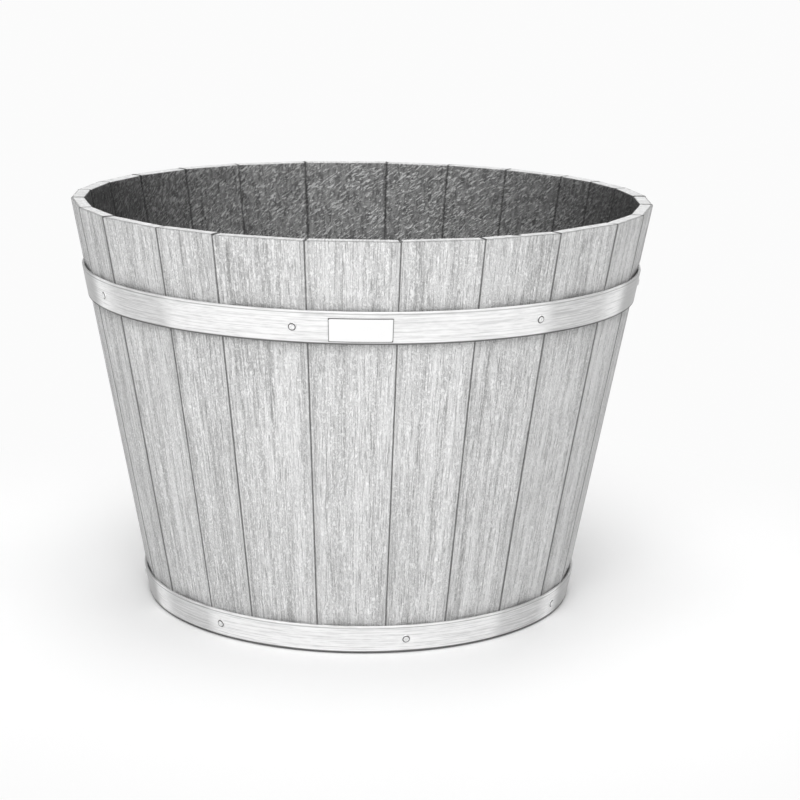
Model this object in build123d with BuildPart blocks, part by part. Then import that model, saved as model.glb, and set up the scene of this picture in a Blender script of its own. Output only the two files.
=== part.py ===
from build123d import *
from math import atan2, cos, degrees, radians, sin
import os

# A small round planter tub, coopered like half a barrel. Flat tapered staves stand on end in a
# ring that flares upwards, two sheet-metal hoops hold the ring together, and a floor of boards
# sits in a groove cut round the inside of the staves near their feet.
# Sizes are in millimetres. The origin is on the ground in the middle of the tub and +Z is up.
# The front, with the label plate, faces -Y. Angles are in degrees, anticlockwise from +X as seen
# from above. The thickness of a flaring piece is measured level.

# The tub as a whole
rim_diameter = 300.0  # across the corners of the staves at the rim
base_diameter = 225.0  # over the lower hoop at its foot
tub_height = 210.0

# Staves, anticlockwise from the front one. Each width is along the rim, from corner to corner.
stave_widths = [44, 40, 42, 44, 35, 40, 30, 32, 29, 27, 42, 39, 38]
stave_widths += [50, 43, 38, 38, 34, 34, 30, 37, 33, 43, 33, 45]
first_seam_angle = 261.0  # the left seam of the front stave
stave_thickness = 7.0
arris_chamfer = 0.6  # on the outer edges of every stave
hoop_seat_depth = 0.4  # how far the stave corners are dressed back under a hoop

# Hoops: one strip of sheet metal each, lapped and riveted at the back
hoop_thickness = 1.5
upper_hoop_foot = 160.8
upper_hoop_height = 16.0
lower_hoop_foot = 0.5
lower_hoop_height = 14.4
lap_length = 26.0
lap_gap = 0.05  # between the two layers of the lap
lap_slit = 0.8  # between the strip's inner end and the step over it
lap_step_length = 2.0

# Rivets through each lap, side by side along the hoop
rivet_spacing = 13.0
rivet_shank_radius = 1.2
rivet_head_radius = 2.4
rivet_head_height = 1.1
rivet_tail_radius = 1.7  # the tail fills a countersink and ends flush
rivet_tail_depth = 0.5
rivet_clearance = 0.05

# Nails through each hoop into the staves, the same number each way from one near the front
nails_each_way = 3
nail_pitch_angle = 48.7
upper_nail_angle = 258.3
lower_nail_angle = 283.0
nail_length = 6.5  # under the head
nail_point_length = 1.5
nail_shank_radius = 0.8
nail_head_radius = 2.1
nail_head_height = 0.9
nail_clearance = 0.05

# Blank label plate, bonded to the front of the upper hoop
label_angle = 271.0
label_length = 30.0
label_height = 11.4
label_thickness = 0.5
label_drop = 0.9  # below the middle of the hoop

# Head boards: the floor, side by side, with a thinned rim that sits in the staves' groove
head_board_count = 5
head_thickness = 8.0
head_bevel_length = 8.0
groove_foot = 18.0
groove_depth = 2.5  # into the widest stave, at its middle
groove_clearance = 0.1  # over the rim of the boards
tongue_thickness = 4.0
tongue_length = 3.4  # from the bevel to the edge
head_clearance = 0.3  # between the boards' edge and the bottom of the groove

# Dowels that join the head boards edge to edge
dowel_radius = 2.0
dowel_length = 20.0
dowel_spacing = 90.0
dowel_clearance = 0.05
dowel_end_clearance = 0.5

# Drain holes in a row along the middle head board
drain_radius = 5.0
drain_spacing = 60.0

# Worked out from the values above
rim_corner_radius = rim_diameter / 2
hoop_outset = hoop_thickness - hoop_seat_depth  # a hoop's outside, past the stave corners
lap_outset = hoop_outset + lap_gap + hoop_thickness  # the lap's outside, past the corners
foot_share = lower_hoop_foot / tub_height
foot_corner_radius = base_diameter / 2 - hoop_outset  # of the staves at the lower hoop's foot
base_corner_radius = (foot_corner_radius - rim_corner_radius * foot_share) / (1 - foot_share)
flare_angle = degrees(atan2(rim_corner_radius - base_corner_radius, tub_height))
turn_per_width = 360 / sum(stave_widths)
widest_half_angle = max(stave_widths) * turn_per_width / 2


def corner_radius(height):
    """How far the staves' outer corners are from the axis at this height."""
    return base_corner_radius + (rim_corner_radius - base_corner_radius) * height / tub_height


def direction(angle):
    """The level direction that points out at this angle."""
    return Vector(cos(radians(angle)), sin(radians(angle)), 0)


def upright_plane(angle):
    """The plane through the axis whose X points out at this angle and whose Y points up."""
    return Plane(origin=(0, 0, 0), x_dir=direction(angle), z_dir=direction(angle - 90))


def slope_plane(angle, height, outset):
    """A plane on the flaring side, this far outside the corners, whose X points up the slope."""
    out = direction(angle)
    origin = out * (corner_radius(height) + outset) + Vector(0, 0, height)
    square_out = out * cos(radians(flare_angle)) - Vector(0, 0, sin(radians(flare_angle)))
    up_slope = out * sin(radians(flare_angle)) + Vector(0, 0, cos(radians(flare_angle)))
    return Plane(origin=origin, x_dir=up_slope, z_dir=square_out)


def lengthwise_plane(slope):
    """The plane along a fastener that stands on a slope plane, with Y pointing out along it."""
    return Plane(origin=slope.origin, x_dir=slope.x_dir, z_dir=slope.y_dir * -1)


def band_section(foot, height, inner, outer):
    """The slanting section of a band that lies between two distances outside the corners."""
    top = foot + height
    return [
        (corner_radius(foot) + inner, foot),
        (corner_radius(foot) + outer, foot),
        (corner_radius(top) + outer, top),
        (corner_radius(top) + inner, top),
    ]


def rivet_section(clearance):
    """Half the section of a rivet's shank and tail or, with a clearance, of its hole."""
    grip = (2 * hoop_thickness + lap_gap) * cos(radians(flare_angle))
    return [
        (0, 0),
        (rivet_shank_radius + clearance, 0),
        (rivet_shank_radius + clearance, rivet_tail_depth - grip),
        (rivet_tail_radius + clearance, -grip - clearance),
        (0, -grip - clearance),
    ]


class Hoop:
    """Where one hoop sits, and where its lap, its rivets and its nails are."""

    def __init__(self, name, foot, height, nail_angle):
        self.name = name
        self.foot = foot
        self.height = height
        self.middle = foot + height / 2
        radius = corner_radius(self.middle)
        lap_angle = nail_angle + 180
        self.lap_span = degrees(lap_length / radius)
        self.slit_span = degrees(lap_slit / radius)
        self.step_span = degrees(lap_step_length / radius)
        self.strip_start = lap_angle - self.lap_span / 2
        self.step_start = self.strip_start - self.slit_span - self.step_span
        half_rivet_span = degrees(rivet_spacing / radius) / 2
        self.rivet_slopes = []
        for angle in (lap_angle - half_rivet_span, lap_angle + half_rivet_span):
            self.rivet_slopes.append(slope_plane(angle, self.middle, lap_outset))
        self.nail_slopes = []
        for turn in range(-nails_each_way, nails_each_way + 1):
            angle = nail_angle + turn * nail_pitch_angle
            self.nail_slopes.append(slope_plane(angle, self.middle, hoop_outset))


upper_hoop = Hoop("upper_hoop", upper_hoop_foot, upper_hoop_height, upper_nail_angle)
lower_hoop = Hoop("lower_hoop", lower_hoop_foot, lower_hoop_height, lower_nail_angle)
hoops = [upper_hoop, lower_hoop]

os.makedirs("parts", exist_ok=True)


def finish(part, name):
    """Label a finished piece and write it out under its name."""
    part.label = name
    export_step(part, f"parts/{name}.step")


# What is cut from the ring of staves once it stands: the groove for the floor, a shallow round
# seat for each hoop, and the nail holes
widest_flat_radius = corner_radius(groove_foot) * cos(radians(widest_half_angle)) - stave_thickness
groove_radius = widest_flat_radius + groove_depth
with BuildPart() as ring_cuts:
    with BuildSketch(Plane.XY.offset(groove_foot)):
        Circle(groove_radius)
    extrude(amount=tongue_thickness + groove_clearance)
    for hoop in hoops:
        with BuildSketch(upright_plane(hoop.strip_start)):
            Polygon(*band_section(hoop.foot, hoop.height, -hoop_seat_depth, hoop_thickness))
        revolve(axis=Axis.Z)
        with BuildSketch(*hoop.nail_slopes):
            Circle(nail_shank_radius + nail_clearance)
        extrude(amount=-nail_length - nail_clearance)

# Staves: flat boards that taper to the foot, with both long edges mitred towards the axis and
# the outer edges chamfered
stave_end_angle = first_seam_angle
for number, width in enumerate(stave_widths, 1):
    stave_start_angle = stave_end_angle
    stave_end_angle = stave_start_angle + width * turn_per_width
    stave_middle_angle = (stave_start_angle + stave_end_angle) / 2
    flat_share = cos(radians(stave_end_angle - stave_middle_angle))
    foot_radius = base_corner_radius * flat_share
    rim_radius = rim_corner_radius * flat_share
    with BuildPart() as stave:
        with BuildSketch(upright_plane(stave_middle_angle)):
            Polygon(
                (foot_radius, 0),
                (rim_radius, tub_height),
                (rim_radius - stave_thickness, tub_height),
                (foot_radius - stave_thickness, 0),
            )
        extrude(amount=rim_diameter / 2, both=True)
        with BuildSketch(Plane.XY):
            left_mitre = direction(stave_start_angle) * rim_diameter
            right_mitre = direction(stave_end_angle) * rim_diameter
            Polygon((0, 0), left_mitre, right_mitre)
        extrude(amount=tub_height, mode=Mode.INTERSECT)
        outwards = Axis((0, 0, 0), direction(stave_middle_angle))
        chamfer(stave.faces().sort_by(outwards)[-1].edges(), length=arris_chamfer)
        add(ring_cuts.part, mode=Mode.SUBTRACT)
    finish(stave.part, f"stave_{number:02d}")

# Hoops: each strip runs once round from its inner end, steps out over that end and laps it
for hoop in hoops:
    with BuildPart() as band:
        with BuildSketch(upright_plane(hoop.strip_start)):
            Polygon(*band_section(hoop.foot, hoop.height, -hoop_seat_depth, hoop_outset))
        revolve(axis=Axis.Z, revolution_arc=360 - hoop.slit_span)
        with BuildSketch(upright_plane(hoop.step_start)):
            Polygon(*band_section(hoop.foot, hoop.height, -hoop_seat_depth, lap_outset))
        revolve(axis=Axis.Z, revolution_arc=hoop.step_span)
        with BuildSketch(upright_plane(hoop.step_start)):
            Polygon(*band_section(hoop.foot, hoop.height, hoop_outset + lap_gap, lap_outset))
        revolve(axis=Axis.Z, revolution_arc=hoop.step_span + hoop.slit_span + hoop.lap_span)
        with BuildSketch(*hoop.nail_slopes):
            Circle(nail_shank_radius + nail_clearance)
        extrude(amount=-nail_length, mode=Mode.SUBTRACT)
        for slope in hoop.rivet_slopes:
            with BuildSketch(lengthwise_plane(slope)):
                Polygon(*rivet_section(rivet_clearance))
            revolve(axis=Axis(slope.origin, slope.z_dir), mode=Mode.SUBTRACT)
    finish(band.part, hoop.name)

# Nails: a low domed head, a straight shank and a point
for hoop in hoops:
    with BuildPart() as nails:
        for slope in hoop.nail_slopes:
            with BuildSketch(lengthwise_plane(slope)):
                with BuildLine():
                    Polyline(
                        (0, nail_head_height),
                        (0, -nail_length),
                        (nail_shank_radius, nail_point_length - nail_length),
                        (nail_shank_radius, 0),
                        (nail_head_radius, 0),
                    )
                    TangentArc((0, nail_head_height), (nail_head_radius, 0), tangent=(1, 0))
                make_face()
            revolve(axis=Axis(slope.origin, slope.z_dir))
    finish(nails.part, f"{hoop.name}_nails")

# Rivets: a domed head outside the lap, and a tail that fills the countersink inside it
for hoop in hoops:
    with BuildPart() as rivets:
        for slope in hoop.rivet_slopes:
            with BuildSketch(lengthwise_plane(slope)):
                with BuildLine():
                    Polyline((0, rivet_head_height), (0, 0), (rivet_head_radius, 0))
                    TangentArc((0, rivet_head_height), (rivet_head_radius, 0), tangent=(1, 0))
                make_face()
                Polygon(*rivet_section(0))
            revolve(axis=Axis(slope.origin, slope.z_dir))
    finish(rivets.part, f"{hoop.name}_rivets")

# Label plate: thin sheet, bent to lie on the hoop
label_span = degrees(label_length / (corner_radius(upper_hoop.middle) + hoop_outset))
label_foot = upper_hoop.middle - label_drop - label_height / 2
with BuildPart() as label_plate:
    with BuildSketch(upright_plane(label_angle - label_span / 2)):
        Polygon(*band_section(label_foot, label_height, hoop_outset, hoop_outset + label_thickness))
    revolve(axis=Axis.Z, revolution_arc=label_span)
finish(label_plate.part, "label_plate")

# Head boards: slices of one round floor, bevelled underneath to the tongue round its edge
head_radius = groove_radius - head_clearance
head_top = groove_foot + tongue_thickness
head_foot = head_top - head_thickness
head_middle = head_top - head_thickness / 2
head_board_width = 2 * head_radius / head_board_count
head_joints = [-head_radius + number * head_board_width for number in range(1, head_board_count)]
middle_board = (head_board_count + 1) // 2
for number in range(1, head_board_count + 1):
    board_middle = -head_radius + (number - 0.5) * head_board_width
    with BuildPart() as head_board:
        with BuildSketch(Plane.XZ):
            Polygon(
                (0, head_top),
                (head_radius, head_top),
                (head_radius, groove_foot),
                (head_radius - tongue_length, groove_foot),
                (head_radius - tongue_length - head_bevel_length, head_foot),
                (0, head_foot),
            )
        revolve(axis=Axis.Z)
        with BuildSketch(Plane.XY.offset(head_foot)):
            with Locations((0, board_middle)):
                Rectangle(2 * head_radius, head_board_width)
        extrude(amount=head_thickness, mode=Mode.INTERSECT)
        for joint in head_joints:
            with BuildSketch(Plane.XZ.offset(-joint)):
                with Locations((-dowel_spacing / 2, head_middle), (dowel_spacing / 2, head_middle)):
                    Circle(dowel_radius + dowel_clearance)
            extrude(amount=dowel_length / 2 + dowel_end_clearance, both=True, mode=Mode.SUBTRACT)
        if number == middle_board:
            with BuildSketch(Plane.XY.offset(head_foot)):
                with Locations((-drain_spacing, 0), (0, 0), (drain_spacing, 0)):
                    Circle(drain_radius)
            extrude(amount=head_thickness, mode=Mode.SUBTRACT)
    finish(head_board.part, f"head_board_{number}")

# Dowels: two across each joint between head boards
with BuildPart() as head_dowels:
    for joint in head_joints:
        with BuildSketch(Plane.XZ.offset(-joint)):
            with Locations((-dowel_spacing / 2, head_middle), (dowel_spacing / 2, head_middle)):
                Circle(dowel_radius)
        extrude(amount=dowel_length / 2, both=True)
finish(head_dowels.part, "head_dowels")
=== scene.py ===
# The looks of a small round planter tub, coopered like half a barrel: weathered grey staves in a
# flaring ring, charred inside, with two pale sheet-metal hoops and a floor of charred boards.
# Lengths are in metres. The front, with the label plate, faces -Y and +Z is up.
import random
from math import atan2, cos, hypot, pi, radians, sin, sqrt, tan

import bmesh
import bpy
from mathutils import Matrix, Vector, noise


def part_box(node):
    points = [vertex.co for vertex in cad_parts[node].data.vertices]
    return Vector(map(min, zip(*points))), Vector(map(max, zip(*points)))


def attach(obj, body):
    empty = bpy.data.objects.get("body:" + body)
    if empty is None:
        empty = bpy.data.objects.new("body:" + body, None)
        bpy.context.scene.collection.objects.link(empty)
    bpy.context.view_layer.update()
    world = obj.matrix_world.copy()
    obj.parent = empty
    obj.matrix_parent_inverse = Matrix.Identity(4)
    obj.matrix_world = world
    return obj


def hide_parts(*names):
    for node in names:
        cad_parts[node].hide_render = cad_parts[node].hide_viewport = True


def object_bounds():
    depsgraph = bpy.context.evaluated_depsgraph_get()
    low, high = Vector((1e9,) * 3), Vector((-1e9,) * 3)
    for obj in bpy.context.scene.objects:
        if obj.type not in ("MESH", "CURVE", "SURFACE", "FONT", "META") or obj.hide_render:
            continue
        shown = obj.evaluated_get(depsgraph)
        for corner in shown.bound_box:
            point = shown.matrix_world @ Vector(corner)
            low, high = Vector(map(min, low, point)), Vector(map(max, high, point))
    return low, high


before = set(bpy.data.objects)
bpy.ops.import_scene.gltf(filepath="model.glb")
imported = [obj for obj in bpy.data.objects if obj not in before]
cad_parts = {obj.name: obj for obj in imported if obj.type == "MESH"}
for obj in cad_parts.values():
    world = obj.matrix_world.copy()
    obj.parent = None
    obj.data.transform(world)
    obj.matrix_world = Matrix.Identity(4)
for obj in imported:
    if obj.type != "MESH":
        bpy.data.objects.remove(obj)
solid_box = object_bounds()
mm = 0.001

# The viewing point: a little above the rim and almost square to the front. The picture leans
# by less than a degree, and so does the camera.
camera_place = Vector((20.9, -1083.9, 360.0)) * mm
camera_pitch = 13.42
camera_roll = 0.88
camera_lens = 94.41
camera = bpy.data.objects.new("camera", bpy.data.cameras.new("camera"))
camera.data.lens = camera_lens
turn_down = Matrix.Rotation(radians(90 - camera_pitch), 4, "X")
lean = Matrix.Rotation(radians(camera_roll), 4, "Z")
camera.matrix_world = Matrix.Translation(camera_place) @ turn_down @ lean
bpy.context.scene.collection.objects.link(camera)
bpy.context.scene.camera = camera


# The staves: flat boards of weathered softwood that taper to the foot, mitred along both edges
# and rounded a little by wear. The hoops hold them in a ring, so each bears on its neighbours.
# Inside and along the mitres they are charred, and the rim is sawn clean.
class Value:
    """One value among shader nodes, so that shader maths reads as plain expressions."""

    def __init__(self, nodes, socket):
        self.nodes = nodes
        self.socket = socket

    def maths(self, operation, *values):
        return self.nodes.add("ShaderNodeMath", {"operation": operation}, dict(enumerate(values)))

    def __add__(self, other):
        return self.maths("ADD", self, other)

    def __sub__(self, other):
        return self.maths("SUBTRACT", self, other)

    def __rsub__(self, other):
        return self.maths("SUBTRACT", other, self)

    def __mul__(self, other):
        return self.maths("MULTIPLY", self, other)

    __radd__ = __add__
    __rmul__ = __mul__

    def larger(self, other):
        return self.maths("MAXIMUM", self, other)

    def contours(self, count):
        """How far, up to a half, this value is from the nearest of evenly spaced levels."""
        return self.maths("PINGPONG", self * count, 0.5)

    def step(self, low, high):
        """A smooth step from 0 at low to 1 at high."""
        limits = {"Value": self, "From Min": low, "From Max": high}
        return self.nodes.add("ShaderNodeMapRange", {"interpolation_type": "SMOOTHSTEP"}, limits)


class Nodes:
    """A tree of shader nodes. Each is added by a call that gives back its value."""

    def __init__(self, tree):
        self.tree = tree

    def add(self, kind, settings, inputs, output=0):
        node = self.tree.nodes.new(kind)
        for setting, value in settings.items():
            setattr(node, setting, value)
        for socket, value in inputs.items():
            if isinstance(value, Value):
                self.tree.links.new(value.socket, node.inputs[socket])
            else:
                node.inputs[socket].default_value = value
        return Value(self, node.outputs[output])

    def mark(self, name, output="Fac"):
        """A value or, with the output Vector, a vector that was written into the mesh."""
        return self.add("ShaderNodeAttribute", {"attribute_name": name}, {}, output)

    def stretched(self, place, across, along, through=1.0):
        """A place in the material, scaled along each direction to so many features a metre."""
        factors = {0: place, 1: (across, along, through)}
        return self.add("ShaderNodeVectorMath", {"operation": "MULTIPLY"}, factors)

    def mottle(self, place, detail=2.0, roughness=0.5, distortion=0.0):
        """Smooth noise between about 0 and 1."""
        inputs = {"Vector": place, "Scale": 1.0, "Detail": detail, "Roughness": roughness}
        inputs["Distortion"] = distortion
        return self.add("ShaderNodeTexNoise", {}, inputs)

    def blend(self, first, second, factor):
        """The first colour where the factor is 0 and the second where it is 1."""
        inputs = {0: factor, 6: first, 7: second}
        return self.add("ShaderNodeMix", {"data_type": "RGBA"}, inputs, 2)


class Finish(Nodes):
    """A material, with its constants set on the shader and its varying values painted on."""

    def __init__(self, name, **constants):
        self.material = bpy.data.materials.new(name)
        self.material.use_nodes = True
        super().__init__(self.material.node_tree)
        self.shader = self.tree.nodes["Principled BSDF"]
        for socket, value in constants.items():
            self.shader.inputs[socket.replace("_", " ")].default_value = value

    def paint(self, **values):
        for socket, value in values.items():
            self.tree.links.new(value.socket, self.shader.inputs[socket.replace("_", " ")])

    def relief(self, height, depth):
        """Fine relief, too small for the mesh, this deep in metres."""
        inputs = {"Height": height, "Distance": depth, "Strength": 1.0}
        self.paint(Normal=self.add("ShaderNodeBump", {}, inputs))


def grey(level):
    """A grey of this brightness, on the screen's scale from 0 to 1."""
    linear = level ** 2.2
    return (linear, linear, linear, 1.0)


sharp_angle = radians(40)  # where two faces that meet more steeply show an edge


def skin_piece(name, rings, marks, material):
    """A mesh through closed rings of equal length, capped at both ends, on the one body.

    Each entry of a ring is a point, then a value for each mark.
    """
    mesh = bpy.data.meshes.new(name)
    entries = [entry for ring in rings for entry in ring]
    count = len(rings[0])
    faces = []
    for row in range(len(rings) - 1):
        for column in range(count):
            right = (column + 1) % count
            low, high = row * count, (row + 1) * count
            faces.append((low + column, low + right, high + right, high + column))
    faces.append(tuple(reversed(range(count))))
    faces.append(tuple(range(len(entries) - count, len(entries))))
    mesh.from_pydata([entry[0] for entry in entries], [], faces)
    for number, mark in enumerate(marks, 1):
        if isinstance(entries[0][number], Vector):
            layer = mesh.attributes.new(mark, "FLOAT_VECTOR", "POINT")
            layer.data.foreach_set("vector", [c for entry in entries for c in entry[number]])
        else:
            layer = mesh.attributes.new(mark, "FLOAT", "POINT")
            layer.data.foreach_set("value", [entry[number] for entry in entries])
    shape = bmesh.new()
    shape.from_mesh(mesh)
    bmesh.ops.recalc_face_normals(shape, faces=shape.faces)
    shape.to_mesh(mesh)
    shape.free()
    mesh.shade_smooth()
    mesh.set_sharp_from_angle(angle=sharp_angle)
    mesh.materials.append(material)
    piece = bpy.data.objects.new(name, mesh)
    bpy.context.scene.collection.objects.link(piece)
    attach(piece, "root")
    return piece


tub_height = solid_box[1].z
chip_angle = radians(300.8)  # of a dark spot of painted shade that stands in for a small chip in the inner edge of the rim
chip_radius = 143.2 * mm


def bare_face(wood, grain, seam, lines, flecks, hair):
    """The silver-grey colour of the outer faces, with the sawn rim and the darkened edges."""
    flank_shade = wood.mark("flank_shade")
    end = wood.mark("end")
    strands = wood.mottle(wood.stretched(grain, 210, 6), 3.0, 0.6, 0.4).step(0.30, 0.70)
    clouds = wood.mottle(wood.stretched(grain, 40, 16), 2.0)
    tone = strands * 0.34 + lines * 0.30 + flecks * 0.30 + clouds * 0.24
    tone = tone + wood.mark("shade") * 0.05 - wood.mark("hollow") * 0.22
    bare = wood.blend(grey(0.64), grey(0.985), tone.step(-0.30, 0.82))
    bare = wood.blend(bare, grey(0.42), hair * (0.12 + (1 - lines) * 0.30))
    # Painted shade: the faces are a little darker within 5 mm of each seam, where the staves meet.
    near_seam_shade = 1 - seam.step(0.6 * mm, 5.0 * mm)
    bare = wood.blend(bare, grey(0.50), near_seam_shade * 0.16)
    # Painted highlight: a light line on the rounded arris beside each seam.
    lit_arris = seam.step(0.4 * mm, 0.7 * mm) * (1 - seam.step(0.9 * mm, 1.5 * mm))
    bare = wood.blend(bare, grey(0.97), lit_arris * 0.35)
    # Dirt and painted shade darken the staves next to the hoops' edges, and painted shade also
    # darkens them towards both flanks.
    bare = wood.blend(bare, grey(0.45), wood.mark("grime_and_shade") * 0.30 + flank_shade * 0.10)
    sawn_tone = wood.mottle(wood.stretched(grain, 600, 600, 600), 3.0, 0.6, 0.6).step(0.3, 0.7)
    bare = wood.blend(bare, wood.blend(grey(0.84), grey(0.96), sawn_tone), end)
    bare = wood.blend(bare, grey(0.30), wood.mark("brow") * 0.55)
    # The seams' dark line is their own colour; painted shade widens it towards both flanks.
    in_seam = 1 - (seam - flank_shade * (0.6 * mm)).step(0.1 * mm, 0.6 * mm)
    bare = wood.blend(bare, grey(0.22), in_seam * 0.70)
    mitre = 1 - seam.step(0.3 * mm, 0.9 * mm)
    bare = wood.blend(bare, grey(0.20), mitre * end * 0.75)
    # Painted shade: a dark spot that stands in for a small chip in the inner edge of the rim.
    here = wood.add("ShaderNodeTexCoord", {}, {}, "Object")
    chip_place = Vector((chip_radius * cos(chip_angle), chip_radius * sin(chip_angle), tub_height))
    from_chip = wood.add("ShaderNodeVectorMath", {"operation": "DISTANCE"},
                         {0: here, 1: chip_place}, "Value")
    return wood.blend(bare, grey(0.16), (1 - from_chip.step(2.0 * mm, 2.8 * mm)) * 0.9)


def charred_face(wood, grain, seam, strokes):
    """The colour of the charred inside, cracked and flecked, with painted shade that makes it
    blackest at both flanks.
    """
    cracks = wood.mottle(wood.stretched(grain, 520, 150), 3.0, 0.6, 0.9).step(0.32, 0.68)
    coal = wood.blend(grey(0.42), grey(0.67), cracks)
    coal = wood.blend(coal, grey(0.98), strokes * 0.72)
    # Painted shade: the inside darkens almost to black towards both flanks.
    coal = wood.blend(coal, grey(0.14), wood.mark("flank_shade") * 0.85)
    in_seam = 1 - seam.step(0.2 * mm, 1.2 * mm)
    return wood.blend(coal, grey(0.12), in_seam * 0.55)


def weathered_wood():
    """Silver-grey boards with the grain worn into lines, charred where the soot mark says."""
    wood = Finish("weathered_stave_wood", Specular_IOR_Level=0.2)
    grain = wood.mark("grain", "Vector")
    seam = wood.mark("seam")
    soot = wood.mark("soot")
    lines = wood.mottle(wood.stretched(grain, 950, 44), 2.0, 0.55, 1.4).step(0.35, 0.63)
    flecks = wood.mottle(wood.stretched(grain, 1400, 560), 1.0, 0.5, 1.4).step(0.42, 0.57)
    rings = wood.mottle(wood.stretched(grain, 300, 9), 2.0, 0.5, 0.35)
    hair = 1 - rings.contours(10.0).step(0.03, 0.16)
    slant = wood.add("ShaderNodeVectorRotate", {"rotation_type": "Z_AXIS"},
                     {"Vector": grain, "Angle": radians(-50)})
    strokes = wood.mottle(wood.stretched(slant, 1100, 290), 2.0, 0.6, 1.1).step(0.49, 0.59)
    bare = bare_face(wood, grain, seam, lines, flecks, hair)
    coal = charred_face(wood, grain, seam, strokes)
    wood.paint(Base_Color=wood.blend(bare, coal, soot))
    wood.paint(Roughness=0.66 + lines * 0.2)
    wood.relief(lines * 0.6 + flecks * 1.1 - hair * 0.4 + strokes * soot * 2.6, 0.28 * mm)
    return wood.material


rim_corner_radius = 150.0 * mm
foot_corner_radius = 111.31 * mm  # so that the foot is 225 mm across over its hoop
stave_thickness = 7.0 * mm
seam_gap = 0.005 * mm  # each side's share
outer_wear = 0.38 * mm  # how far the rounding runs in from an outer edge
inner_wear = 0.4 * mm  # and from an inner one
brow_width = 0.5 * mm  # of the darkened edge round the outside of the rim
grime_and_shade_reach = 8.0 * mm  # how far dirt and painted shade reach from the hoops' edges
end_wear = 0.7 * mm  # rounding round the rim and the foot
grain_pitch = 0.85 * mm  # between the mesh's columns across a face
row_pitch = 3.6 * mm  # and between its rows
inner_columns = 16
grain_depth = 0.22 * mm
inner_grain_depth = 0.25 * mm
seam_margin = 2.0 * mm  # nearer than this to a seam the grain is worn less
grain_shift = Vector((0.31, 0.0, 0.17))  # from one stave to the next, so that no two look alike
hoop_seat_depth = 0.42 * mm  # how far the corners are dressed back under a hoop
rim_unevenness = 0.35 * mm  # how far a rim may lie below the highest
face_unevenness = 0.18 * mm  # how far a face may lie behind the foremost
hoop_bands = [(160.8 * mm, 176.8 * mm), (0.5 * mm, 14.9 * mm)]  # foot and top of each hoop
stave_marks = ["grain", "soot", "seam", "hollow", "shade", "end", "flank_shade", "brow", "grime_and_shade"]


def corner_radius(height):
    """How far the outer corners of the staves are from the axis at this height."""
    return foot_corner_radius + (rim_corner_radius - foot_corner_radius) * height / tub_height


def side_angles(node):
    """The angles of a stave's two sides, read from its solid."""
    lowest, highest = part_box(node)
    middle = (lowest + highest) / 2
    facing = atan2(middle.y, middle.x)
    aside = Vector((-sin(facing), cos(facing), 0))
    out = Vector((cos(facing), sin(facing), 0))
    spread = [atan2(v.co.dot(aside), v.co.dot(out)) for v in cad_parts[node].data.vertices]
    return facing + min(spread), facing + max(spread)


def bend(start, corner, end, steps):
    """Points on the rounding from start to end round a corner."""
    shares = [step / steps for step in range(1, steps)]
    return [start * (1 - s) ** 2 + corner * 2 * s * (1 - s) + end * s ** 2 for s in shares]


def worn_grain(across, along, number):
    """How deep the weather has cut here, from 0 to 1."""
    sway = noise.noise(Vector((along * 26, number * 5.3, 0))) * 0.9
    broad = noise.noise(Vector((across * 190 + sway * 0.5, along * 5, number * 7.1)))
    narrow = noise.noise(Vector((across * 430 + sway, along * 9, number * 3.7)))
    return min(max(0.5 + broad * 0.7 + narrow * 0.6, 0), 1)


def stave_section(half_angle, height, inset, drop, columns):
    """A stave's outline at a height, as places across and out, with the kind of each place."""
    flat = corner_radius(height) * cos(half_angle) - inset - drop
    back = flat + drop - stave_thickness + 2 * inset
    outer_half = flat * tan(half_angle) - seam_gap - inset
    inner_half = back * tan(half_angle) - seam_gap - inset
    corner = Vector((outer_half, flat))
    inner_corner = Vector((inner_half, back))
    side = (inner_corner - corner).normalized()
    face_start = corner - Vector((outer_wear, 0))
    side_start = corner + side * outer_wear
    side_end = inner_corner - side * inner_wear
    back_start = inner_corner - Vector((inner_wear, 0))
    right = bend(face_start, corner, side_start, 5) + [side_start, side_end]
    right += bend(side_end, inner_corner, back_start, 3)
    face = []
    for column in range(columns + 1):
        share = 2 * column / columns - 1
        face.append((Vector((face_start.x * share, flat)), "face"))
    edge = [(place, "side") for place in right]
    inner = []
    for column in range(inner_columns + 1):
        share = 1 - 2 * column / inner_columns
        inner.append((Vector((back_start.x * share, back)), "inner"))
    other = [(Vector((-place.x, place.y)), "side") for place in reversed(right)]
    return face + edge + inner + other


def stave_levels(top):
    """The heights of a stave's rings, with how far each is drawn in and how dark its edge is."""
    rows = round(top / row_pitch)
    levels = [(0.0, end_wear, 0), (0.3 * end_wear, 0.3 * end_wear, 0), (end_wear, 0.0, 0)]
    for row in range(1, rows):
        levels.append((end_wear + (top - 2 * end_wear) * row / rows, 0.0, 0))
    levels += [(top - end_wear, 0.0, 0), (top - 0.55 * end_wear, 0.15 * end_wear, 0.5)]
    levels += [(top - 0.15 * end_wear, 0.5 * end_wear, 1), (top, end_wear, 1)]
    levels.append((top, end_wear + brow_width, 0))
    return levels


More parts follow.
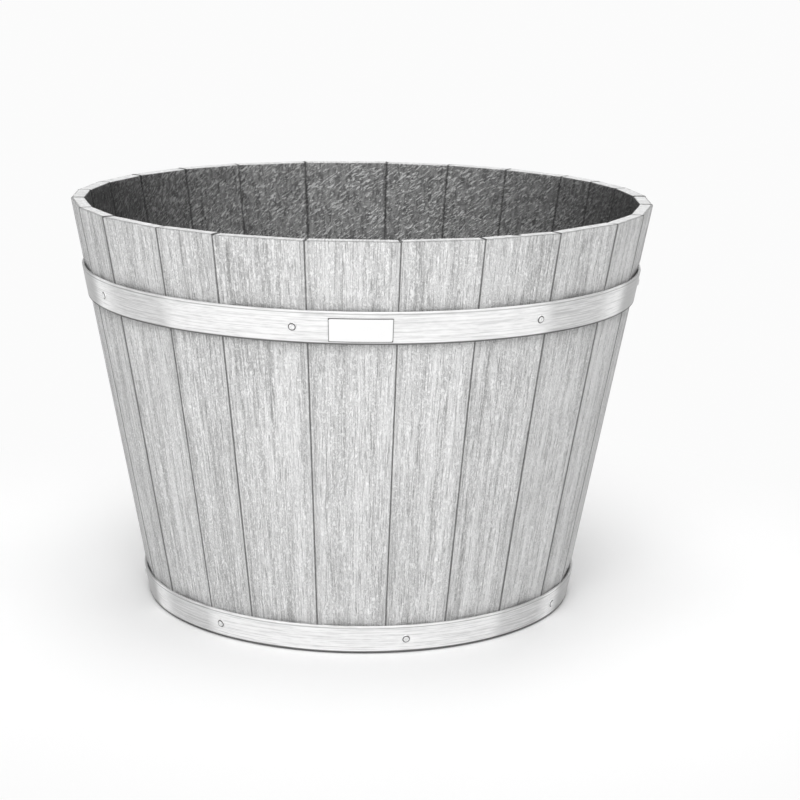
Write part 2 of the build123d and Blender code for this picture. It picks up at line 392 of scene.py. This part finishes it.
def stave_rings(number, start, end):
    """The rings of one stave from foot to rim, with their marks."""
    middle = (start + end) / 2
    half_angle = (end - start) / 2
    out = Vector((cos(middle), sin(middle), 0))
    aside = Vector((-sin(middle), cos(middle), 0))
    rim_drop = random.uniform(0, rim_unevenness) if number % 4 else 0.0
    face_drop = random.uniform(0, face_unevenness)
    shade = random.uniform(-1, 1)
    columns = round(2 * rim_corner_radius * sin(half_angle) / grain_pitch)
    top = tub_height - rim_drop
    mean_half = corner_radius(tub_height / 2) * tan(half_angle)
    rings = []
    for height, inset, brow in stave_levels(top):
        half_width = corner_radius(height) * sin(half_angle)
        seated = any(foot <= height <= band_top for foot, band_top in hoop_bands)
        seat = corner_radius(height) - hoop_seat_depth
        at_end = height > top - 0.3 * end_wear
        flat_middle = corner_radius(height) * cos(half_angle) - 0.5 * stave_thickness
        # Dirt and painted shade next to the hoops' edges: 1 at an edge, fading to 0 at the reach.
        spread = min(abs(height - edge) for band in hoop_bands for edge in band)
        grime_and_shade = max(1 - spread / grime_and_shade_reach, 0) ** 2
        ring = []
        for place, kind in stave_section(half_angle, height, inset, face_drop, columns):
            across, depth = place
            grain_across = across / half_width * mean_half
            seam = max(half_width - abs(across), 0.0) if kind == "face" else 0.0
            if kind == "inner":
                seam = max(depth * tan(half_angle) - abs(across), 0.0)
            hollow = 0.0
            if kind == "face":
                hollow = worn_grain(grain_across, height, number)
                depth -= hollow * grain_depth * min(seam / seam_margin, 1)
            if kind == "inner":
                inner_hollow = worn_grain(grain_across * 0.7, height * 3, number + 40)
                depth += inner_hollow * inner_grain_depth
            reach = hypot(across, depth)
            if seated and reach > seat:
                across, depth = across * seat / reach, depth * seat / reach
            point = out * depth + aside * across + Vector((0, 0, height))
            burnt = kind == "inner" or (kind == "side" and place.y < flat_middle)
            if at_end:
                seam = max(half_width * depth / corner_radius(height) - abs(across), 0.0)
            grain = Vector((grain_across, height, depth)) + grain_shift * number
            # How much painted shade a place gets: 1 at the left and right flanks, 0 at the front
            # and back.
            flank_shade = (point.x / hypot(point.x, point.y)) ** 2
            outer_brow = float(brow) if place.y > flat_middle else 0.0
            ring.append((point, grain, float(burnt and not at_end), seam, hollow, shade,
                         float(at_end), flank_shade, outer_brow, grime_and_shade))
        rings.append(ring)
    return rings


weather_seed = 25
random.seed(weather_seed)
stave_wood = weathered_wood()
stave_names = [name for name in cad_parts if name.startswith("stave_")]
for number, node in enumerate(sorted(stave_names), 1):
    start, end = side_angles(node)
    stave = skin_piece(f"{node}_wood", stave_rings(number, start, end), stave_marks, stave_wood)
    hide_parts(node)

# The hoops: strips of pale satin sheet metal, drawn tight round the staves. Each one's ends
# lap at the back, where two rivets hold them, and its edges are rolled smooth.
hoop_thickness = 1.5 * mm
hoop_outset = 1.1 * mm  # past the corners of the staves
lap_rise = 1.55 * mm  # of the outer layer over the inner one
lap_length = 26.0 * mm
lap_slit = 0.8 * mm  # between the inner end and the step over it
lap_step_length = 2.0 * mm
hoop_edge_rounding = 0.45 * mm
hoop_ripple = 0.10 * mm
hoop_pitch = 1.9 * mm  # between the mesh's stations round the hoop
hoop_rows = 14
lap_step_parts = 5
hoop_marks = ["strip", "low_edge", "top_edge", "turned"]
hoop_nail_angles = {"upper_hoop": 258.3, "lower_hoop": 283.0}  # of the nail nearest the front


def hoop_sheet():
    """Pale satin sheet with fine strokes along the strip, with a painted reflection band and
    painted shade where it turns to the sides.
    """
    sheet = Finish("satin_hoop_sheet", Specular_IOR_Level=0.5)
    strip = sheet.mark("strip", "Vector")
    low_edge = sheet.mark("low_edge")
    top_edge = sheet.mark("top_edge")
    turned = sheet.mark("turned")
    strokes = sheet.mottle(sheet.stretched(strip, 26, 1900), 3.0, 0.6, 0.3)
    scuffs = sheet.mottle(sheet.stretched(strip, 140, 900), 2.0, 0.6)
    clouds = sheet.mottle(sheet.stretched(strip, 26, 60), 2.0)
    tone = strokes.step(0.36, 0.60) * 0.45 + scuffs.step(0.35, 0.65) * 0.20 + clouds * 0.35
    pale = sheet.blend(grey(0.83), grey(0.975), tone.step(0.10, 0.80))
    # Painted reflection: a darker band where the hoop turns partly to the side, with its strokes
    # stronger there.
    painted_reflection_band = turned.step(0.60, 0.66) * (1 - turned.step(0.80, 0.87))
    reflection_band_and_strokes = painted_reflection_band * (0.14 + strokes.step(0.44, 0.58) * 0.48)
    # Painted shade also darkens the hoop where it faces left and right.
    pale = sheet.blend(pale, grey(0.56), reflection_band_and_strokes + turned.step(0.88, 0.93) * 0.68)
    line = top_edge.step(0.7 * mm, 1.0 * mm) * (1 - top_edge.step(1.2 * mm, 1.6 * mm))
    pale = sheet.blend(pale, grey(0.45), line * 0.45)
    # Painted shade along the hoop's lower edge.
    foot_shade_line = 1 - low_edge.step(0.6 * mm, 1.2 * mm)
    pale = sheet.blend(pale, grey(0.10), foot_shade_line * 0.85)
    sheet.paint(Base_Color=pale)
    sheet.paint(Metallic=0.25 + clouds * 0.1)
    sheet.paint(Roughness=0.42 + strokes * 0.2)
    sheet.relief(strokes + scuffs * 0.5, 0.04 * mm)
    return sheet.material


def hoop_section(foot, top, rise):
    """A hoop's outline, as distances from the axis and heights, with its edges rounded."""
    corners = []
    inner, outer = rise + hoop_outset - hoop_thickness, rise + hoop_outset
    for height, outset in ((foot, inner), (foot, outer), (top, outer), (top, inner)):
        corners.append(Vector((corner_radius(height) + outset, height)))
    outline = []
    for number, corner in enumerate(corners):
        before = (corners[number - 1] - corner).normalized() * hoop_edge_rounding
        after = (corners[(number + 1) % 4] - corner).normalized() * hoop_edge_rounding
        outline += [corner + before] + bend(corner + before, corner, corner + after, 4)
        outline.append(corner + after)
        if number == 1:
            face_end = corners[2] - after
            face_start = corner + after
            for row in range(1, hoop_rows):
                outline.append(face_start + (face_end - face_start) * (row / hoop_rows))
    return outline


def hoop_rings(foot, top, nail_angle):
    """One strip from its inner end, once round and over that end again."""
    radius = corner_radius((foot + top) / 2)
    lap_span = lap_length / radius
    start = radians(nail_angle + 180) - lap_span / 2
    step_end = 2 * pi - lap_slit / radius
    step_start = step_end - lap_step_length / radius
    whole = 2 * pi + lap_span
    stations = round(whole * radius / hoop_pitch)
    turns = [whole * station / stations for station in range(stations + 1)]
    for part in range(lap_step_parts + 1):
        turns.append(step_start + (step_end - step_start) * part / lap_step_parts)
    rings = []
    for turn in sorted(turns):
        share = min(max((turn - step_start) / (step_end - step_start), 0), 1)
        rise = lap_rise * share * share * (3 - 2 * share)
        angle = start + turn
        ring = []
        for reach, height in hoop_section(foot, top, rise):
            wave = noise.noise(Vector((turn * radius * 30, height * 90, nail_angle)))
            outer_face = reach > corner_radius(height) + rise + 0.5 * hoop_outset
            reach -= hoop_ripple * (0.5 + 0.5 * wave) if outer_face else 0.0
            point = Vector((reach * cos(angle), reach * sin(angle), height))
            strip = Vector((turn * radius, height, 0.0))
            ring.append((point, strip, height - foot, top - height, abs(cos(angle))))
        rings.append(ring)
    return rings


hoop_metal = hoop_sheet()
for name, (foot, top) in zip(("upper_hoop", "lower_hoop"), hoop_bands):
    rings = hoop_rings(foot, top, hoop_nail_angles[name])
    hoop = skin_piece(f"{name}_strip", rings, hoop_marks, hoop_metal)
    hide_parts(name)

# The nails and rivets: steel, with low domed heads beaten flat here and there. Seven nails
# go through each hoop into the staves, and two rivets close each lap.
nail_head_radius = 2.1 * mm
nail_head_height = 0.9 * mm
nail_shank_radius = 0.8 * mm
nail_length = 6.5 * mm
nail_point_length = 1.5 * mm
nails_each_way = 3  # from the one nearest the front
nail_pitch_angle = 48.7
rivet_head_radius = 2.4 * mm
rivet_head_height = 1.1 * mm
rivet_spacing = 13.0 * mm
rivet_length = 3.0 * mm
rivet_shank_radius = 1.2 * mm
rivet_bevel = 0.4 * mm
head_segments = 36
head_steps = 10
head_dent_depth = 0.16 * mm
head_marks = ["head_place", "head_edge"]
flare = atan2(rim_corner_radius - foot_corner_radius, tub_height)


def beaten_steel():
    """Satin steel, with a dark ring round the top of each head."""
    steel = Finish("beaten_fastener_steel", Specular_IOR_Level=0.5)
    rim = steel.mark("head_edge")
    place = steel.mark("head_place", "Vector")
    dents = steel.mottle(steel.stretched(place, 900, 900, 900), 2.0, 0.5)
    pale = steel.blend(grey(0.82), grey(0.98), dents.step(0.3, 0.7))
    ring = rim.step(0.62, 0.72) * (1 - rim.step(0.84, 0.92))
    steel.paint(Base_Color=steel.blend(pale, grey(0.14), ring))
    steel.paint(Metallic=0.15 + dents * 0.1)
    steel.paint(Roughness=0.35 + dents * 0.25)
    steel.relief(dents, 0.05 * mm)
    return steel.material


def fastener_rings(origin, up, out, head_radius, head_height, shank_radius, length, point):
    """One headed fastener, from the middle of its head round to the end of its shank."""
    aside = up.cross(out)
    profile = []
    for step in range(head_steps):
        swing = radians(90) * (step + 0.15) / (head_steps - 0.7)
        profile.append((head_radius * sin(swing), head_height * cos(swing) ** 0.6))
    profile += [(head_radius, 0.0), (shank_radius, 0.0), (shank_radius, point - length)]
    profile.append((shank_radius * 0.15, -length))
    rings = []
    for radius, height in profile:
        ring = []
        for segment in range(head_segments):
            swing = 2 * pi * segment / head_segments
            arm = up * cos(swing) + aside * sin(swing)
            place = origin + arm * radius + out * height
            if height > 0.0:
                dent = noise.noise(place * 700) * 0.5 + 0.5
                place -= out * dent * min(head_dent_depth, height * 0.5)
            edge = radius / head_radius if height >= 0 else 1.0
            ring.append((place, place.copy(), edge))
        rings.append(ring)
    return rings


def slope_place(angle, height, outset):
    """A place on the flaring side, with the directions up it and square out of it."""
    level = Vector((cos(angle), sin(angle), 0))
    origin = level * (corner_radius(height) + outset) + Vector((0, 0, height))
    up = level * sin(flare) + Vector((0, 0, cos(flare)))
    out = level * cos(flare) - Vector((0, 0, sin(flare)))
    return origin, up, out


def joined(name, pieces, node):
    """Several like fasteners as one piece that stands for one node."""
    with bpy.context.temp_override(active_object=pieces[0], selected_editable_objects=pieces):
        bpy.ops.object.join()
    pieces[0].name = name
    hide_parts(node)


fastener_steel = beaten_steel()
for name, (foot, top) in zip(("upper_hoop", "lower_hoop"), hoop_bands):
    middle = (foot + top) / 2
    nails = []
    for turn in range(-nails_each_way, nails_each_way + 1):
        angle = radians(hoop_nail_angles[name] + turn * nail_pitch_angle)
        origin, up, out = slope_place(angle, middle, hoop_outset)
        rings = fastener_rings(origin, up, out, nail_head_radius, nail_head_height,
                               nail_shank_radius, nail_length, nail_point_length)
        nails.append(skin_piece(f"{name}_nail", rings, head_marks, fastener_steel))
    joined(f"{name}_nail_set", nails, f"{name}_nails")
    rivets = []
    half_spread = rivet_spacing / 2 / corner_radius(middle)
    for side in (-1, 1):
        angle = radians(hoop_nail_angles[name] + 180) + side * half_spread
        origin, up, out = slope_place(angle, middle, hoop_outset + lap_rise)
        rings = fastener_rings(origin, up, out, rivet_head_radius, rivet_head_height,
                               rivet_shank_radius, rivet_length, rivet_bevel)
        rivets.append(skin_piece(f"{name}_rivet", rings, head_marks, fastener_steel))
    joined(f"{name}_rivet_set", rivets, f"{name}_rivets")

# The label plate: thin sheet enamelled white and left blank, bent to the hoop and bonded to
# the front of it. Its cut edges are bare and have darkened.
label_angle = 271.0
label_length = 30.0 * mm
label_height = 11.4 * mm
label_thickness = 0.5 * mm
label_drop = 0.9 * mm  # below the middle of the hoop
label_edge_wear = 0.2 * mm
label_columns = 40
label_rows = 14


def white_enamel():
    """Smooth white enamel with a faint unevenness, dark along its cut edge."""
    enamel = Finish("white_label_enamel", Specular_IOR_Level=0.5)
    place = enamel.mark("plate_place", "Vector")
    edge = enamel.mark("plate_edge")
    cloud = enamel.mottle(enamel.stretched(place, 220, 220), 3.0)
    white = enamel.blend(grey(0.945), grey(0.97), cloud)
    enamel.paint(Base_Color=enamel.blend(grey(0.20), white, edge.step(0.15 * mm, 0.42 * mm)))
    enamel.paint(Roughness=0.35 + cloud * 0.15)
    return enamel.material


def label_rings():
    """The plate from its front face's left end to its right, as closed rings up and down it."""
    middle = (hoop_bands[0][0] + hoop_bands[0][1]) / 2 - label_drop
    radius = corner_radius(middle + label_drop) + hoop_outset
    rings = []
    for column in range(label_columns + 1):
        along = (column / label_columns - 0.5) * label_length
        angle = radians(label_angle) + along / radius
        end_gap = label_length / 2 - abs(along)
        front = label_thickness - max(label_edge_wear - end_gap, 0)
        ring = []
        for row in range(label_rows + 1):
            rise = (row / label_rows - 0.5) * label_height
            edge_gap = label_height / 2 - abs(rise)
            outset = front - max(label_edge_wear - edge_gap, 0)
            ring.append((rise, outset, min(edge_gap, end_gap)))
        ring += [(label_height / 2, 0.0, 0.0), (-label_height / 2, 0.0, 0.0)]
        rings.append([])
        for rise, outset, edge in ring:
            reach = corner_radius(middle + rise) + hoop_outset + outset
            point = Vector((reach * cos(angle), reach * sin(angle), middle + rise))
            rings[-1].append((point, Vector((along, rise, 0)), edge))
    return rings


label = skin_piece("label_sheet", label_rings(), ["plate_place", "plate_edge"], white_enamel())
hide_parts("label_plate")


# The floor of the tub: five charred boards side by side, dowelled edge to edge, whose thinned
# rim sits in the staves' groove. Three holes in the middle board let the water out.
def charred_boards():
    """Charred softwood with the grain along X, finely crazed and paler on its high places."""
    boards = Finish("charred_board_wood", Specular_IOR_Level=0.2)
    place = boards.mark("board_grain", "Vector")
    joint = boards.mark("joint_gap")
    grain = boards.mottle(boards.stretched(place, 12, 420, 300), 4.0, 0.65, 0.6)
    rings = boards.mottle(boards.stretched(place, 7, 150, 90), 2.0, 0.5, 0.4)
    hair = 1 - rings.contours(9.0).step(0.03, 0.18)
    crazing = boards.mottle(boards.stretched(place, 520, 620, 500), 3.0, 0.6, 0.8)
    coal = boards.blend(grey(0.24), grey(0.46), grain.step(0.35, 0.68))
    coal = boards.blend(coal, grey(0.62), crazing.step(0.52, 0.66) * 0.4)
    coal = boards.blend(coal, grey(0.10), hair * 0.6)
    coal = boards.blend(grey(0.03), coal, joint.step(0.5 * mm, 1.6 * mm))
    boards.paint(Base_Color=coal)
    boards.paint(Roughness=0.6 + grain * 0.3)
    boards.relief(grain + crazing * 0.8 - hair * 0.6, 0.25 * mm)
    return boards.material


def dowel_wood():
    """Plain turned beech with a close straight grain."""
    wood = Finish("plain_dowel_wood", Specular_IOR_Level=0.3)
    place = wood.add("ShaderNodeTexCoord", {}, {}, "Object")
    grain = wood.mottle(wood.stretched(place, 900, 40, 900), 3.0)
    wood.paint(Base_Color=wood.blend(grey(0.55), grey(0.72), grain))
    wood.paint(Roughness=0.5 + grain * 0.2)
    return wood.material


def board_grain(point, number):
    """Where a point of a board lies in the grain, so that no two boards look alike."""
    return point + board_grain_shift * number


def board_rings(number, front, back, foot, top):
    """A board from its front edge to its back one, each ring running along it and back under."""
    rows = round((back - front) / board_row_pitch)
    shares = [0.0, 0.15, 0.4, 0.7, 1.0]
    places = [front + joint_wear * share for share in shares]
    places += [front + (back - front) * row / rows for row in range(1, rows)]
    places += [back - joint_wear * share for share in reversed(shares)]
    rings = []
    for place in places:
        to_joint = min(place - front, back - place) / joint_wear
        drop = joint_wear * (1 - sqrt(1 - (1 - min(to_joint, 1)) ** 2))
        line = min(max(place, board_arris - floor_radius), floor_radius - board_arris)
        reaches = []
        for radius in (floor_radius, floor_radius - tongue_length, under_radius):
            reaches.append(sqrt(max(radius ** 2 - line ** 2, least_reach ** 2)))
        outline = []
        for column in range(board_columns + 1):
            along = (2 * column / board_columns - 1) * (reaches[0] - board_end_wear)
            burnt = noise.noise(Vector((along * 14, line * 170, 3.0 + number))) * 0.5
            burnt += noise.noise(Vector((along * 160, line * 220, 9.0 + number))) * 0.5
            relief = (0.5 + burnt) * board_relief * min(to_joint, 1)
            outline.append((along, top - drop - relief))
        under = [(reaches[0], top - board_arris - drop), (reaches[0], tongue_foot),
                 (reaches[1], tongue_foot), (reaches[2], foot + drop)]
        outline += under + [(-reach, height) for reach, height in reversed(under)]
        ring = []
        for along, height in outline:
            point = Vector((along, line, height))
            ring.append((point, board_grain(point, number), min(place - front, back - place)))
        rings.append(ring)
    return rings


def drill(board, number, places, radius, foot, top):
    """Cut upright holes through a board, keep the result as its mesh and mark their walls."""
    shape = bmesh.new()
    for place in places:
        middle = Matrix.Translation((place, 0, (top + foot) / 2))
        bmesh.ops.create_cone(shape, cap_ends=True, segments=drain_segments, radius1=radius,
                              radius2=radius, depth=(top - foot) * 2, matrix=middle)
    bit_mesh = bpy.data.meshes.new("drain_bit")
    shape.to_mesh(bit_mesh)
    shape.free()
    bit = bpy.data.objects.new("drain_bit", bit_mesh)
    bpy.context.scene.collection.objects.link(bit)
    cut = board.modifiers.new("drain_holes", "BOOLEAN")
    cut.operation = "DIFFERENCE"
    cut.object = bit
    drilled = board.evaluated_get(bpy.context.evaluated_depsgraph_get())
    board.data = bpy.data.meshes.new_from_object(drilled)
    board.modifiers.clear()
    board.data.set_sharp_from_angle(angle=sharp_angle)
    bpy.data.objects.remove(bit)
    grain = board.data.attributes["board_grain"].data
    joint_gap = board.data.attributes["joint_gap"].data
    for vertex in board.data.vertices:
        from_hole = min(hypot(vertex.co.x - place, vertex.co.y) for place in places)
        if from_hole < radius + drain_margin:
            grain[vertex.index].vector = board_grain(vertex.co, number)
            joint_gap[vertex.index].value = radius


board_wood = charred_boards()
board_low, board_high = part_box("head_board_3")
floor_radius = board_high.x
board_foot = board_low.z
board_top = board_high.z
tongue_thickness = 4.0 * mm
tongue_foot = board_top - tongue_thickness
tongue_length = 3.4 * mm
underside_bevel = 8.0 * mm  # from the tongue in to the flat underside
under_radius = floor_radius - tongue_length - underside_bevel
least_reach = 1.5 * mm  # of an outer board where the floor's edge ends it
board_arris = 0.5 * mm
board_end_wear = 0.3 * mm
joint_wear = 0.9 * mm
board_row_pitch = 1.6 * mm
board_columns = 110
board_relief = 0.35 * mm
board_grain_shift = Vector((0.7, 0.37, 0.0))
board_marks = ["board_grain", "joint_gap"]
drain_radius = 5.0 * mm
drain_places = (-60.0 * mm, 0.0, 60.0 * mm)
drain_segments = 48
drain_margin = 0.1 * mm  # past a hole's wall, where its marks are set
for number in range(1, 6):
    name = f"head_board_{number}"
    lowest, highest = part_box(name)
    rings = board_rings(number, lowest.y + seam_gap, highest.y - seam_gap, board_foot, board_top)
    board = skin_piece(f"{name}_charred", rings, board_marks, board_wood)
    if number == 3:
        drill(board, number, drain_places, drain_radius, board_foot, board_top)
    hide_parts(name)
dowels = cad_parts["head_dowels"]
dowels.data.materials.clear()
dowels.data.materials.append(dowel_wood())


# The ground: a plain pale floor that keeps the tub's shadow near it and fades to white away
# from it. It belongs to the picture and not to the tub.
def in_view(nodes):
    """1 for what the camera sees, also by gloss or through glass, and 0 for any other ray."""
    camera_ray, glossy_ray, glass_ray = [
        nodes.add("ShaderNodeLightPath", {}, {}, f"Is {kind} Ray")
        for kind in ("Camera", "Glossy", "Transmission")
    ]
    return camera_ray.larger(glossy_ray).larger(glass_ray)


floor_size = 40.0
shadow_reach = 130.0 * mm  # from the middle of the floor, where its white begins to take over
white_reach = 360.0 * mm  # and where it is all white
floor_finish = Finish("pale_floor", Base_Color=grey(0.97), Roughness=0.9, Specular_IOR_Level=0.0)
floor_place = floor_finish.add("ShaderNodeTexCoord", {}, {}, "Object")
from_middle = floor_finish.add("ShaderNodeVectorMath", {"operation": "LENGTH"},
                               {0: floor_place}, "Value")
white = floor_finish.add("ShaderNodeEmission", {}, {"Color": grey(0.985), "Strength": 1.0})
mixed = floor_finish.add("ShaderNodeMixShader", {}, {
    0: in_view(floor_finish) * from_middle.step(shadow_reach, white_reach),
    1: Value(floor_finish, floor_finish.shader.outputs[0]),
    2: white,
})
surface = floor_finish.tree.nodes["Material Output"].inputs["Surface"]
floor_finish.tree.links.new(mixed.socket, surface)
half = floor_size / 2
floor_mesh = bpy.data.meshes.new("floor")
floor_corners = [(-half, -half, 0), (half, -half, 0), (half, half, 0), (-half, half, 0)]
floor_mesh.from_pydata(floor_corners, [], [(0, 1, 2, 3)])
floor_mesh.materials.append(floor_finish.material)
floor = bpy.data.objects.new("floor", floor_mesh)
bpy.context.scene.collection.objects.link(floor)


# The light: an even pale sky, a wide soft lamp in front, another overhead and a fainter one
# behind. To the camera the sky is almost white.
def soft_lamp(name, place, size, power):
    """A square lamp that faces the middle of the tub."""
    lamp = bpy.data.lights.new(name, "AREA")
    lamp.shape = "SQUARE"
    lamp.size = size
    lamp.energy = power
    holder = bpy.data.objects.new(name, lamp)
    holder.location = place
    aim = Vector((0, 0, tub_height / 2)) - Vector(place)
    holder.rotation_euler = aim.to_track_quat("-Z", "Y").to_euler()
    bpy.context.scene.collection.objects.link(holder)


soft_lamp("front_lamp", (-0.2, -2.2, 1.9), 1.6, 38)
soft_lamp("top_lamp", (0.0, -0.2, 2.6), 1.8, 25)
soft_lamp("back_lamp", (0.4, 2.4, 1.5), 1.6, 16)
sky_strength = 0.45
sky_strength_in_view = 0.96
sky = bpy.data.worlds.new("sky")
sky.use_nodes = True
sky_nodes = Nodes(sky.node_tree)
strength = sky_strength + in_view(sky_nodes) * (sky_strength_in_view - sky_strength)
backdrop = sky.node_tree.nodes["Background"]
backdrop.inputs["Color"].default_value = (1, 1, 1, 1)
sky.node_tree.links.new(strength.socket, backdrop.inputs["Strength"])
bpy.context.scene.world = sky
bpy.context.scene.view_settings.view_transform = "Standard"
